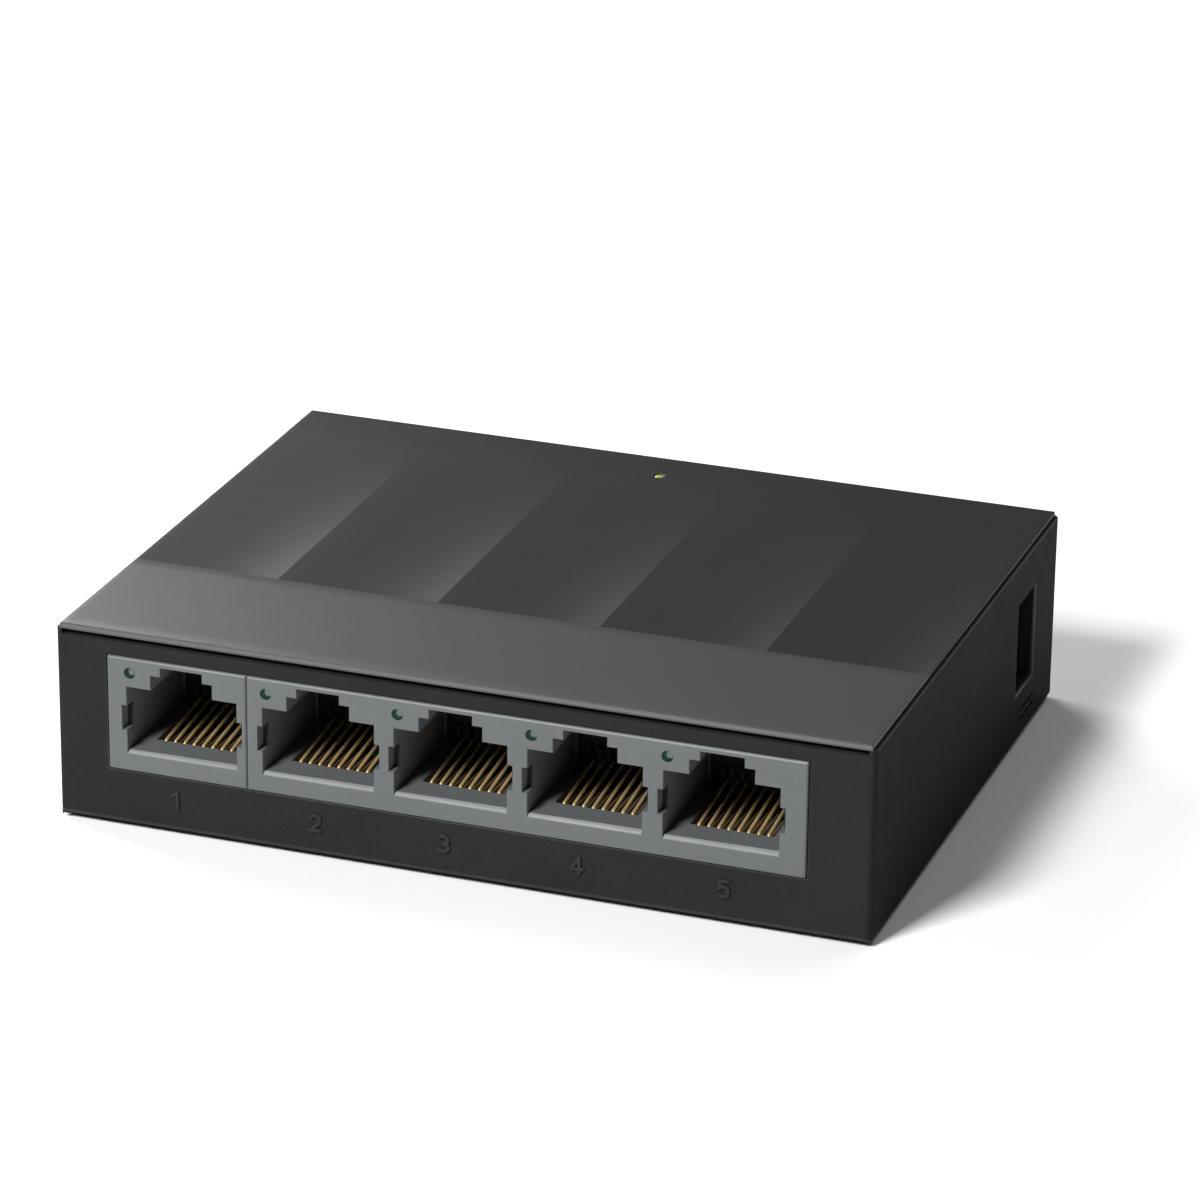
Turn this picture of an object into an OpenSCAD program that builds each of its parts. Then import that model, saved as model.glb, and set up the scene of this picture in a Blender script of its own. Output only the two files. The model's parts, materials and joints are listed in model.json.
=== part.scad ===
// Five-port desktop network switch: a snap-together plastic case around one
// circuit board, with a single and a four-gang modular jack on the front edge
// and a low-voltage DC inlet on the right side.
// Axes: X across the front, Y from the front (-) to the back (+), Z up.
// Z = 0 is the surface that the feet stand on.

/* [Case] */
// Width of the case, side to side
body_w = 85.5; // [84.5:0.1:88]
// Depth of the case, front wall to back wall
body_d = 66.4; // [64:0.1:70]
// Height of the case without its feet
body_h = 20.8; // [20.4:0.1:22]
// Thickness of the outer walls
wall_t = 1.6; // [1.4:0.1:1.8]
// Thickness of the floor
floor_t = 1.6; // [1.4:0.1:1.8]
// Radius of the upright corners
corner_r = 0.7; // [0.4:0.1:1.2]
// How far the feet stand out below the floor
foot_h = 0.5; // [0.4:0.1:0.8]
// Width of the thin rim of the walls beside the lid
rim_t = 0.7; // [0.6:0.05:0.9]
// Gap around the lid
lid_gap = 0.25; // [0.15:0.05:0.35]

/* [Lid] */
// Thickness of the lid
lid_t = 1.75; // [1.6:0.05:2]
// Depth of the flat band along the front of the lid
band_d = 18.7; // [15:0.1:22]
// Where the folded panels run out, measured from the front
fold_end = 58.5; // [50:0.5:60]
// How far each folded panel sinks between its creases, at the band
fold_depth = 0.5; // [0.3:0.05:0.55]
// Spacing of the creases
crease_pitch = 17.4; // [17:0.1:17.6]
// Chamfer along the lid's front edge
lid_chamfer = 0.35; // [0.2:0.05:0.4]

/* [Jacks] */
// Spacing of the openings in the four-gang jack
port_pitch = 13.97; // [13.9:0.01:14.05]
// Width of the plug opening
port_w = 11.84; // [11.7:0.01:12]
// Height of the plug opening below the latch steps
port_h = 6.85; // [6.7:0.01:6.95]
// Height of the jack housings
jack_h = 12.25; // [12.2:0.05:12.5]
// Depth of the jack housings
jack_d = 16; // [15.5:0.1:17]
// Spacing of the contact wires
wire_pitch = 1.02; // [1:0.01:1.04]
// Diameter of the contact wires
wire_dia = 0.36; // [0.3:0.01:0.4]
// Rise of the free contact wires at rest, in degrees
wire_rise = 7; // [5:0.5:8]

/* [Power inlet] */
// Diameter of the inlet's barrel bore
dc_bore = 6.3; // [6.1:0.1:6.5]
// Diameter of the inlet's centre pin
dc_pin = 2; // [1.8:0.1:2.1]
// Height of the window for the inlet
dc_win_h = 10.1; // [9:0.1:10.4]
// Width of the window for the inlet
dc_win_w = 6.2; // [6.2:0.1:8]

/* [Circuit board] */
// Thickness of the circuit board
pcb_t = 1.6; // [1.2:0.1:1.6]

/* [Hidden] */
$fn = 48;
eps = 0.01;

case_col = "#3a3b3d";
lid_col = "#4a4b4d";
jack_col = "#7c7e81";
gold_col = "#c9a44c";

// heights
z_bot = foot_h;
z_top = foot_h + body_h;
z_floor = z_bot + floor_t;
z_lid = z_top - lid_t;
jack_z = z_bot + 5.95;
jack_top = jack_z + jack_h;
pcb_z = jack_z;
port_z = z_bot + 8.2;
// plan
face_out = 0.2;
y_back = (body_d + face_out)/2;
y_front = y_back - body_d;
y_face = y_front - face_out;
half_w = body_w/2;
in_x = half_w - wall_t;
in_yf = y_front + wall_t;
in_yb = y_back - wall_t;
lid_x = half_w - rim_t - lid_gap;
lid_yb = y_back - rim_t - lid_gap;
seam_gap = 0.6;
lid_lip = 0.5;
// the edge of the lid reaches out over the side and back walls
lid_over = 0.55;
edge_x = lid_x + lid_over;
edge_yb = lid_yb + lid_over;
// jacks
port_x = [-29.1, -14.46, -14.46 + port_pitch, -14.46 + 2*port_pitch, -14.46 + 3*port_pitch];
single_x = [-37.1, -22.15];
quad_x = [-22.05, 36.1];
cavity_end = y_face + 13.7;
jack_back = y_face + jack_d;
bend_y = y_face + 4.4;
bend_z = z_bot + 7.62;
bend_r = 0.35;
arm_len = 8.7;
led_dx = -5.55;
led_z = z_bot + 16.58;
pipe_leg_y = jack_back + 1.4;
// inlet
dc_y = y_front + 54.6;
dc_z = z_bot + 10.75;
dc_face = in_x - 0.15;
dc_len = 14;
dc_back = dc_face - dc_len;
// fixings
key_x = 31;
key_y = 4;
screw_pos = [[-36.5, 28.2], [36.5, 29], [-38.2, -14.5], [38.2, -10]];
foot_pos = [[-36, -26.5], [36, -26.5], [-36, 26.5], [36, 26.5]];
snap_y = [-6, 12];
power_led_pos = [0, y_front + 60.7];

// ---- small helpers ----
module box(lo, hi) { translate(lo) cube([hi[0]-lo[0], hi[1]-lo[1], hi[2]-lo[2]]); }

module plan_rect(x, y0, y1, r) {
  union() {
    translate([-x + r, y0]) square([2*x - 2*r, y1 - y0]);
    translate([-x, y0 + r]) square([2*x, y1 - y0 - 2*r]);
    for (sx = [-1, 1], yy = [y0 + r, y1 - r]) translate([sx*(x - r), yy]) circle(r);
  }
}

module on_front(y) { translate([0, y, 0]) rotate([90, 0, 0]) children(); }
module on_right(x) { translate([x, 0, 0]) rotate([90, 0, 90]) children(); }

// one straight stroke of a moulded figure
module stroke(p, q, t) {
  d = [q[0]-p[0], q[1]-p[1]];
  translate(p) rotate(atan2(d[1], d[0])) translate([0, -t/2]) square([norm(d), t]);
  translate(p) circle(d = t, $fn = 12);
  translate(q) circle(d = t, $fn = 12);
}
module path(pts, t) { for (i = [0 : len(pts)-2]) stroke(pts[i], pts[i+1], t); }
function arc(c, rx, ry, a0, a1, n) = [for (i = [0:n]) let(a = a0 + (a1-a0)*i/n) [c[0] + rx*cos(a), c[1] + ry*sin(a)]];

// figures one to five in a box 1.3 wide and 2 high, centred on X
module figure(n) {
  t = 0.34;
  if (n == 1) { path([[-0.42, 1.45], [0.1, 1.83], [0.1, 0.17]], t); }
  if (n == 2) { path(concat(arc([0, 1.32], 0.5, 0.51, 165, -35, 8), [[-0.5, 0.17], [0.52, 0.17]]), t); }
  if (n == 3) { path(concat(arc([-0.02, 1.38], 0.46, 0.45, 150, -80, 8), arc([-0.02, 0.64], 0.52, 0.47, 78, -150, 8)), t); }
  if (n == 4) { path([[0.22, 0.17], [0.22, 1.83], [-0.55, 0.62], [0.58, 0.62]], t); }
  if (n == 5) { path(concat([[0.48, 1.83], [-0.36, 1.83], [-0.44, 1.02]], arc([-0.02, 0.72], 0.52, 0.55, 125, -145, 9)), t); }
}

// ---- the plug opening, seen from the front ----
// lower part with its side notches, then two steps for the latch
module port_outline() {
  union() {
    translate([-port_w/2, port_z]) square([port_w, port_h]);
    translate([-port_w/2 - 0.55, z_bot + 10.4]) square([port_w + 1.1, 2.6]);
    translate([-3.3, port_z]) square([6.6, port_h + 1.55]);
    translate([-2.23, port_z]) square([4.46, port_h + 2.55]);
  }
}
// behind the front wall of the jack the latch has room to spring up
module port_inner() {
  union() {
    translate([-port_w/2, port_z]) square([port_w, port_h]);
    translate([-3.3, port_z]) square([6.6, port_h + 2.55]);
  }
}

module port_cut(x) {
  translate([x, 0, 0]) {
    on_front(y_face + 1.5) linear_extrude(2.5) port_outline();
    on_front(cavity_end) linear_extrude(cavity_end - y_face - 1.4) port_inner();
    // channel for the contact wires in the floor of the opening
    box([-4.3, bend_y - 0.9, z_bot + 6.85], [4.3, cavity_end + 0.1, port_z + 0.1]);
    // the tails leave downwards
    box([-4.3, cavity_end - 3.6, jack_z - 1], [4.3, cavity_end + 0.1, z_bot + 7]);
    // pocket for the contact carrier, open to the back
    box([-5.6, cavity_end - 0.1, jack_z - 1], [5.6, jack_back + 1, jack_top - 2.5]);
    // hole for the light pipe
    translate([led_dx, y_face - 1, led_z]) rotate([-90, 0, 0]) cylinder(d = 1.2, h = jack_d + 2);
    // sloped lead-in along the bottom edge
    translate([-port_w/2, y_face, port_z]) rotate([45, 0, 0]) translate([0, -0.25, -0.25]) cube([port_w, 0.5, 0.5]);
  }
}

module jack_shell(x0, x1) {
  // front edge chamfered at the top and the sides
  intersection() {
    box([x0, y_face, jack_z], [x1, jack_back, jack_top]);
    translate([0, 0, jack_z - 1]) linear_extrude(jack_h + 2)
      polygon([[x0 + 0.15, y_face], [x1 - 0.15, y_face], [x1, y_face + 0.15], [x1, jack_back], [x0, jack_back], [x0, y_face + 0.15]]);
    translate([x0 - 1, 0, 0]) rotate([90, 0, 90]) linear_extrude(x1 - x0 + 2)
      polygon([[y_face, jack_z + 0.15], [y_face + 0.15, jack_z], [jack_back, jack_z], [jack_back, jack_top], [y_face + 0.22, jack_top], [y_face, jack_top - 0.22]]);
  }
}

module jack_single_housing() { color(jack_col)
  difference() {
    union() {
      jack_shell(single_x[0], single_x[1]);
      translate([port_x[0], 0, 0]) jack_pegs(4.6);
    }
    port_cut(port_x[0]);
  }
}
module jack_quad_housing() { color(jack_col)
  difference() {
    union() {
      jack_shell(quad_x[0], quad_x[1]);
      translate([port_x[1], 0, 0]) jack_pegs(4.6, [-1]);
      translate([port_x[4], 0, 0]) jack_pegs(4.6, [1]);
    }
    for (i = [1:4]) port_cut(port_x[i]);
  }
}
// locating pegs that drop into the board
module jack_pegs(dx, sides = [-1, 1]) {
  for (s = sides) translate([s*(dx + 1.2), y_face + 9, pcb_z - pcb_t - 0.4]) cylinder(d = 1.6, h = pcb_t + 1);
}

module jack_contact_carriers() { color("#2b2c30")
  for (x = port_x) translate([x, 0, 0]) {
    difference() {
      box([-5.5, cavity_end + 0.05, jack_z + 0.05], [5.5, jack_back - 0.2, jack_top - 2.6]);
      box([-4.3, cavity_end - 1, jack_z - 1], [4.3, cavity_end + 0.75, z_bot + 8]);
      box([-3.6, jack_back - 1, jack_z + 2], [3.6, jack_back + 1, jack_top - 4]);
    }
    for (k = [0:8]) box([(k - 4)*wire_pitch - 0.22, cavity_end - 0.9, z_bot + 8.3], [(k - 4)*wire_pitch + 0.22, cavity_end + 0.05, z_bot + 10.4]);
  }
}

// ---- contact wires ----
function wire_x(k) = (k - 3.5)*wire_pitch;
module wire_run(len) { rotate([-90, 0, 0]) cylinder(d = wire_dia, h = len, $fn = 24); }

// fixed part: the front bend, the lower run and the solder tail
module fixed_wires(n) { color(gold_col)
  for (k = [0:7]) translate([port_x[n-1] + wire_x(k), bend_y, bend_z]) {
    tail = (k % 2 == 0) ? cavity_end - 3.1 : cavity_end - 0.56;
    run = tail - bend_y;
    rotate([0, 90, 0]) rotate([0, 0, 180]) rotate_extrude(angle = 180, $fn = 48) translate([0, 0]) translate([bend_r, 0]) circle(d = wire_dia, $fn = 24);
    translate([0, 0, -bend_r]) wire_run(run);
    translate([0, run, -bend_r]) sphere(d = wire_dia, $fn = 24);
    translate([0, run, -bend_r]) mirror([0, 0, 1]) cylinder(d = wire_dia, h = bend_z - bend_r - (pcb_z - pcb_t) + 1.4, $fn = 24);
  }
}
// free part: eight springs that the plug presses down
module free_wires(n) { color(gold_col)
  for (k = [0:7]) translate([port_x[n-1] + wire_x(k), bend_y, bend_z])
    rotate([wire_rise, 0, 0]) translate([0, 0.02 + bend_r*sin(wire_rise), bend_r]) wire_run(arm_len);
}
module port_1_contacts() { fixed_wires(1); }
module port_2_contacts() { fixed_wires(2); }
module port_3_contacts() { fixed_wires(3); }
module port_4_contacts() { fixed_wires(4); }
module port_5_contacts() { fixed_wires(5); }
module port_1_springs() { free_wires(1); }
module port_2_springs() { free_wires(2); }
module port_3_springs() { free_wires(3); }
module port_4_springs() { free_wires(4); }
module port_5_springs() { free_wires(5); }

// ---- case ----
module bottom_case() { color(case_col)
  union() {
    difference() {
      union() {
        difference() {
          translate([0, 0, z_bot]) linear_extrude(body_h) plan_rect(half_w, y_front, y_back, corner_r);
          // inside
          box([-in_x, in_yf, z_floor], [in_x, in_yb, z_top + 1]);
          // step that the lid lies on
          box([-half_w + rim_t, in_yf - 0.01, z_lid - 0.05], [half_w - rim_t, y_back - rim_t, z_top + 1]);
          // the front wall stops below the lid, with a shadow gap in front
          box([-half_w + rim_t, y_front - 1, z_top - lid_lip - seam_gap], [half_w - rim_t, y_front + 0.8, z_top + 1]);
          // the side and back walls stop just below the edge of the lid
          box([-half_w - 1, y_front - 1, z_top - lid_lip - 0.05], [half_w + 1, y_back + 1, z_top + 1]);
          // chamfered bottom edge of the front wall
          translate([-half_w - 1, y_front, z_bot]) rotate([45, 0, 0]) translate([0, -0.2, -0.2]) cube([body_w + 2, 0.4, 0.4]);
        }
        // posts under the board
        for (p = screw_pos) translate([p[0], p[1], z_floor - 0.1]) cylinder(d = 5, h = pcb_z - pcb_t - z_floor + 0.1);
        for (x = [-18, 18]) translate([x, in_yf + 6.6, z_floor - 0.1]) cylinder(d = 3, h = pcb_z - pcb_t - z_floor + 0.1);
        // catches for the lid's hooks
        for (s = [-1, 1], y = snap_y) translate([0, y - 3.5, 0]) rotate([90, 0, 0]) mirror([0, 0, 1]) linear_extrude(7)
          polygon([[s*(in_x + 0.1), z_bot + 14.6], [s*(in_x + 0.1), z_bot + 17.2], [s*(in_x - 0.6), z_bot + 16.4], [s*(in_x - 0.6), z_bot + 15.2]]);
        // stiffening rib across the floor
        box([-24, 10, z_floor - 0.1], [24, 11, z_floor + 1.2]);
      }
      // window for the two jacks
      box([single_x[0] - 0.1, y_front - 1, jack_z - 0.1], [quad_x[1] + 0.1, in_yf + 1, jack_top + 0.1]);
      // window for the power inlet
      box([in_x - 1, dc_y - dc_win_w/2, dc_z - dc_win_h/2 - 0.2], [half_w + 1, dc_y + dc_win_w/2, dc_z + dc_win_h/2 - 0.2]);
      // direct-current sign below the inlet: a bar over three dashes
      for (b = [[-2.6, 2.6, 2.75]]) box([half_w - 0.2, dc_y + 1.4 + b[0], z_bot + b[2]], [half_w + 1, dc_y + 1.4 + b[1], z_bot + b[2] + 0.5]);
      for (k = [-1:1]) box([half_w - 0.2, dc_y + 1.4 + k*1.95 - 0.65, z_bot + 1.75], [half_w + 1, dc_y + 1.4 + k*1.95 + 0.65, z_bot + 2.25]);
      // screw holes
      for (p = screw_pos) translate([p[0], p[1], z_floor - 0.4]) cylinder(d = 1.7, h = 8);
      // recesses for the feet and the plate
      for (p = foot_pos) translate([p[0], p[1], z_bot - 1]) cylinder(d = 8.2, h = 1.75);
      box([-22.2, -13.2, z_bot - 1], [22.2, 13.2, z_bot + 0.15]);
      // keyholes for hanging on a wall
      for (s = [-1, 1]) {
        translate([s*key_x, key_y, z_bot - 1]) cylinder(d = 7, h = 4);
        translate([s*key_x, key_y + 6.5, z_bot - 1]) cylinder(d = 3.6, h = 4);
        box([s*key_x - 1.8, key_y, z_bot - 1], [s*key_x + 1.8, key_y + 6.5, z_floor + 1]);
      }
    }
    // raised port numbers
    for (n = [1:5]) translate([[-29.85, -14.85, -1.2, 12.75, 27.85][n-1], 0, z_bot + 2.5])
      on_front(y_front + 0.1) linear_extrude(face_out + 0.1) figure(n);
  }
}

// height of the folded surface below the top, across one panel (u) and towards the back (v)
// each panel sinks gently from its left crease and rises steeply to its right one
function fold_z(u, v) = 0.03 + fold_depth*4*u*(1 - u)*(1 + 0.6*(2*u - 1))*max(0, 1 - max(0, v));
fold_nx = 7;
fold_ny = 12;
crease = [-edge_x + 0.02, -crease_pitch*1.5 - 0.5, -crease_pitch*0.5 - 0.5, crease_pitch*0.5 - 0.5, crease_pitch*1.5 - 0.5, edge_x - 0.02];
function fold_row(v) = concat(
  [for (i = [0:4]) for (k = [0:fold_nx - (i < 4 ? 1 : 0)]) let(u = k/fold_nx) [crease[i] + (crease[i+1] - crease[i])*u, z_top - fold_z(u, v)]],
  [[crease[5], z_lid + 0.4], [crease[0], z_lid + 0.4]]);
module folded_panels() {
  y0 = y_front + band_d;
  y1 = y_front + fold_end;
  n = 5*fold_nx + 1 + 2;
  // the first and last rows reach 0.3 into the flat parts beside the folds
  rows = concat([-0.3/(y1 - y0)], [for (j = [0:fold_ny]) j/fold_ny], [1 + 0.3/(y1 - y0)]);
  m = len(rows) - 1;
  pts = [for (v = rows) for (p = fold_row(v)) [p[0], y0 + (y1 - y0)*v, p[1]]];
  quads = [for (j = [0:m-1]) for (i = [0:n-1]) let(a = j*n + i, b = j*n + (i+1)%n, c = b + n, d = a + n) each [[a, b, c], [a, c, d]]];
  capf = [[for (i = [0:n-1]) n - 1 - i]];
  capb = [[for (i = [0:n-1]) m*n + i]];
  polyhedron(points = pts, faces = [for (f = concat(quads, capf, capb)) [for (k = [len(f)-1:-1:0]) f[k]]], convexity = 12);
}

module top_cover() { color(lid_col)
  union() {
    difference() {
      union() {
        // thin lip over the front wall, with a chamfered front edge
        translate([-edge_x, 0, 0]) rotate([90, 0, 90]) linear_extrude(2*edge_x)
          polygon([[y_front + 0.02, z_top - lid_lip], [y_front + 3, z_top - lid_lip], [y_front + 3, z_top], [y_front + lid_chamfer, z_top], [y_front + 0.02, z_top - lid_chamfer]]);
        // band
        box([-edge_x, in_yf + 0.2, z_lid], [edge_x, y_front + band_d, z_top]);
        // plate under the folds
        box([-lid_x, y_front + band_d - 0.5, z_lid], [lid_x, y_front + fold_end + 0.5, z_lid + 0.6]);
        // flat back part
        box([-edge_x, y_front + fold_end, z_lid], [edge_x, edge_yb, z_top]);
        folded_panels();
        // collar around the light pipe
        translate([power_led_pos[0], power_led_pos[1], z_lid - 4]) cylinder(d = 4.4, h = 4.5);
        // ribs that hold the jacks down
        for (x = port_x) box([x + 4.8, y_face + 5, jack_top + 0.1], [x + 5.8, y_face + 12, z_lid + 0.1]);
        // ribs that hold the board down
        for (s = [-1, 1]) box([s*39.1 - 0.5, -1, pcb_z + 0.1], [s*39.1 + 0.5, 6, z_lid + 0.1]);
      }
      // only the thin edge reaches out over the side and back walls
      for (s = [-1, 1]) box([s > 0 ? lid_x : -half_w - 1, in_yf - 0.5, z_lid - 1], [s > 0 ? half_w + 1 : -lid_x, y_back + 1, z_top - lid_lip]);
      box([-lid_x - 1, lid_yb, z_lid - 1], [lid_x + 1, y_back + 1, z_top - lid_lip]);
      // light pipe hole
      translate([power_led_pos[0], power_led_pos[1], z_lid - 5]) cylinder(d = 2.2, h = lid_t + 5 - 0.8, $fn = 32);
      translate([power_led_pos[0], power_led_pos[1], z_lid]) cylinder(d = 1, h = lid_t + 1, $fn = 32);
    }
    // hooks that snap under the catches
    for (s = [-1, 1], y = snap_y) translate([0, y - 3, 0]) rotate([90, 0, 0]) mirror([0, 0, 1]) linear_extrude(6)
      polygon([[s*(in_x - 2), z_lid + 0.1], [s*(in_x - 0.75), z_lid + 0.1], [s*(in_x - 0.75), z_bot + 14.4], [s*(in_x - 0.15), z_bot + 14.2],
               [s*(in_x - 0.15), z_bot + 13.6], [s*(in_x - 0.9), z_bot + 12.6], [s*(in_x - 1.6), z_bot + 12.6]]);
  }
}

module rubber_feet() { color("#202122")
  for (p = foot_pos) translate([p[0], p[1], 0]) rotate_extrude() polygon([[0, 0], [3.5, 0], [4, 0.35], [4, foot_h + 0.75], [0, foot_h + 0.75]]);
}
module rating_plate_blank() { color("#d8d9da") box([-22, -13, z_bot + 0.02], [22, 13, z_bot + 0.15]); }

// ---- circuit board ----
pcb_x = in_x - 0.75;
pcb_yf = in_yf + 0.2;
pcb_yb = in_yb - 0.3;
module pcb() { color("#1f5a3c")
  difference() {
    translate([0, 0, pcb_z - pcb_t]) linear_extrude(pcb_t) plan_rect(pcb_x, pcb_yf, pcb_yb, 1);
    for (p = screw_pos) translate([p[0], p[1], pcb_z - pcb_t - 1]) cylinder(d = 2.6, h = pcb_t + 2);
    for (x = port_x, k = [0:7]) translate([x + wire_x(k), (k % 2 == 0) ? cavity_end - 3.1 : cavity_end - 0.56, pcb_z - pcb_t - 1]) cylinder(d = 0.62, h = pcb_t + 2, $fn = 24);
    for (c = [[port_x[0], -1], [port_x[0], 1], [port_x[1], -1], [port_x[4], 1]]) translate([c[0] + c[1]*5.8, y_face + 9, pcb_z - pcb_t - 1]) cylinder(d = 1.7, h = pcb_t + 2);
    for (q = dc_tabs) box([q[0] - 0.5, q[1] - 0.5 - q[2], pcb_z - pcb_t - 1], [q[0] + 0.5, q[1] + 0.5 + q[2], pcb_z + 1]);
    for (c = can_pos, s = [-1, 1]) translate([c[0] + s*1.75, c[1], pcb_z - pcb_t - 1]) cylinder(d = 0.9, h = pcb_t + 2, $fn = 24);
    for (s = [-1, 1]) translate([surge_pos[0] + s*2.5, surge_pos[1], pcb_z - pcb_t - 1]) cylinder(d = 0.9, h = pcb_t + 2, $fn = 24);
  }
}
module pcb_screws() { color("#b9bcc0")
  for (p = screw_pos) translate([p[0], p[1], pcb_z]) difference() {
    union() {
      rotate_extrude() polygon([[0, 0], [2.3, 0], [2.3, 0.9], [1.7, 1.5], [0, 1.5]]);
      translate([0, 0, -4.2]) cylinder(d = 1.68, h = 4.3);
    }
    for (a = [0, 90]) rotate([0, 0, a]) translate([-1.2, -0.2, 0.8]) cube([2.4, 0.4, 1]);
  }
}

// ---- power inlet ----
dc_tabs = [[dc_back + 1.2, dc_y, 0.7], [dc_back + 6.5, dc_y, 0.7], [dc_back + 4.4, dc_y - 4.55, 0]];
module dc_jack_body() { color("#18191b")
  difference() {
    union() {
      box([dc_face - 3, dc_y - 4.5, pcb_z], [dc_face, dc_y + 4.5, dc_z + 5.1]);
      box([dc_back, dc_y - 3.9, pcb_z], [dc_face - 2.9, dc_y + 3.9, dc_z + 3]);
      translate([dc_back, dc_y, dc_z]) rotate([0, 90, 0]) cylinder(r = 3.9, h = dc_len - 2.9);
    }
    // barrel bore
    translate([dc_face - 10, dc_y, dc_z]) rotate([0, 90, 0]) cylinder(d = dc_bore, h = 11);
    // seat of the pin
    translate([dc_back - 1, dc_y, dc_z]) rotate([0, 90, 0]) cylinder(d = dc_pin + 0.04, h = 8);
    // channel of the leaf spring, open downwards
    box([dc_back + 3.2, dc_y - 1.5, pcb_z - 1], [dc_face - 1.6, dc_y + 1.5, dc_z - 1.4]);
    // notch for the tail of the pin
    box([dc_back - 1, dc_y - 1.3, pcb_z - 1], [dc_back + 1.6, dc_y + 1.3, dc_z + 1.3]);
    // notch for the side terminal
    box([dc_back + 3.6, dc_y - 5, pcb_z - 1], [dc_back + 5.2, dc_y - 3.3, dc_z]);
  }
}
module dc_jack_pin() { color("#c8cacc")
  union() {
    translate([dc_back + 0.9, dc_y, dc_z]) rotate([0, 90, 0]) cylinder(d = dc_pin, h = dc_len - 0.9 - 1.8);
    translate([dc_face - 1.8, dc_y, dc_z]) sphere(d = dc_pin);
  }
}
leaf_x = dc_back + 4.2;
leaf_z = pcb_z + 1.0;
module dc_jack_spring() { color("#c8a24a")
  translate([0, dc_y + 1.1, 0]) rotate([90, 0, 0]) linear_extrude(2.2)
    polygon([[leaf_x + 0.05, leaf_z - 0.15], [leaf_x + 4, leaf_z + 0.2], [leaf_x + 6.4, dc_z - dc_bore/2 + 0.27], [leaf_x + 7.9, dc_z - dc_bore/2 - 0.35],
             [leaf_x + 7.9, dc_z - dc_bore/2 - 0.05], [leaf_x + 6.5, dc_z - dc_bore/2 + 0.55], [leaf_x + 6.1, dc_z - dc_bore/2 + 0.55], [leaf_x + 3.9, leaf_z + 0.5], [leaf_x + 0.05, leaf_z + 0.15]]);
}
module dc_jack_terminals() { color("#c8cacc") {
    // tail of the centre pin
    difference() {
      box([dc_back + 0.9, dc_y - 1.1, pcb_z - pcb_t - 1.4], [dc_back + 1.4, dc_y + 1.1, dc_z + 1.1]);
      translate([dc_back - 1, dc_y, dc_z]) rotate([0, 90, 0]) cylinder(d = dc_pin + 0.04, h = 8);
    }
    // root of the leaf spring
    union() {
      box([leaf_x - 0.5, dc_y - 1.1, leaf_z - 0.15], [leaf_x, dc_y + 1.1, leaf_z + 0.15]);
      box([leaf_x - 0.8, dc_y - 1.1, pcb_z + 0.1], [leaf_x - 0.5, dc_y + 1.1, leaf_z + 0.15]);
      box([leaf_x - 0.8, dc_y - 1.1, pcb_z + 0.1], [dc_tabs[1][0] + 0.2, dc_y + 1.1, pcb_z + 0.4]);
      box([dc_tabs[1][0] - 0.2, dc_y - 1.1, pcb_z - pcb_t - 1.4], [dc_tabs[1][0] + 0.2, dc_y + 1.1, pcb_z + 0.4]);
    }
    // side terminal
    union() {
      box([dc_tabs[2][0] - 0.4, dc_tabs[2][1] - 0.2, pcb_z - pcb_t - 1.4], [dc_tabs[2][0] + 0.4, dc_tabs[2][1] + 0.2, dc_z - 1]);
      box([dc_tabs[2][0] - 0.4, dc_tabs[2][1], dc_z - 2], [dc_tabs[2][0] + 0.4, dc_y - 3.5, dc_z - 1]);
    }
  }
}

// ---- light pipes and lamps ----
module port_light_pipes() { color("#cfe3d2")
  for (x = port_x) translate([x + led_dx, 0, 0]) union() {
    translate([0, y_face + 0.25, led_z]) rotate([-90, 0, 0]) cylinder(d = 1.1, h = pipe_leg_y - y_face - 0.25, $fn = 32);
    translate([-0.6, 0, 0]) rotate([90, 0, 90]) linear_extrude(1.2)
      polygon([[pipe_leg_y - 0.6, pcb_z + 0.85], [pipe_leg_y + 0.6, pcb_z + 0.85], [pipe_leg_y + 0.6, led_z - 0.5], [pipe_leg_y - 0.5, led_z + 0.6], [pipe_leg_y - 0.6, led_z + 0.6]]);
  }
}
module chip_lamp() {
  union() {
    box([-0.8, -0.4, 0], [0.8, 0.4, 0.35]);
    translate([0, 0, 0.3]) linear_extrude(0.42) polygon([[-0.5, -0.38], [0.5, -0.38], [0.5, 0.38], [-0.5, 0.38]]);
  }
}
module port_leds() { color("#e8efdc") for (x = port_x) translate([x + led_dx, pipe_leg_y, pcb_z]) chip_lamp(); }
module power_led() { color("#e8efdc") translate([power_led_pos[0], power_led_pos[1], pcb_z]) chip_lamp(); }
module power_light_pipe() { color("#d6e6b0")
  translate([power_led_pos[0], power_led_pos[1], 0]) rotate_extrude($fn = 32)
    polygon([[0, pcb_z + 0.85], [1.3, pcb_z + 0.85], [1.3, pcb_z + 1.6], [1, pcb_z + 2], [1, z_top - 0.9], [0.45, z_top - 0.9], [0.45, z_top - 0.08], [0, z_top]]);
}

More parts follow.
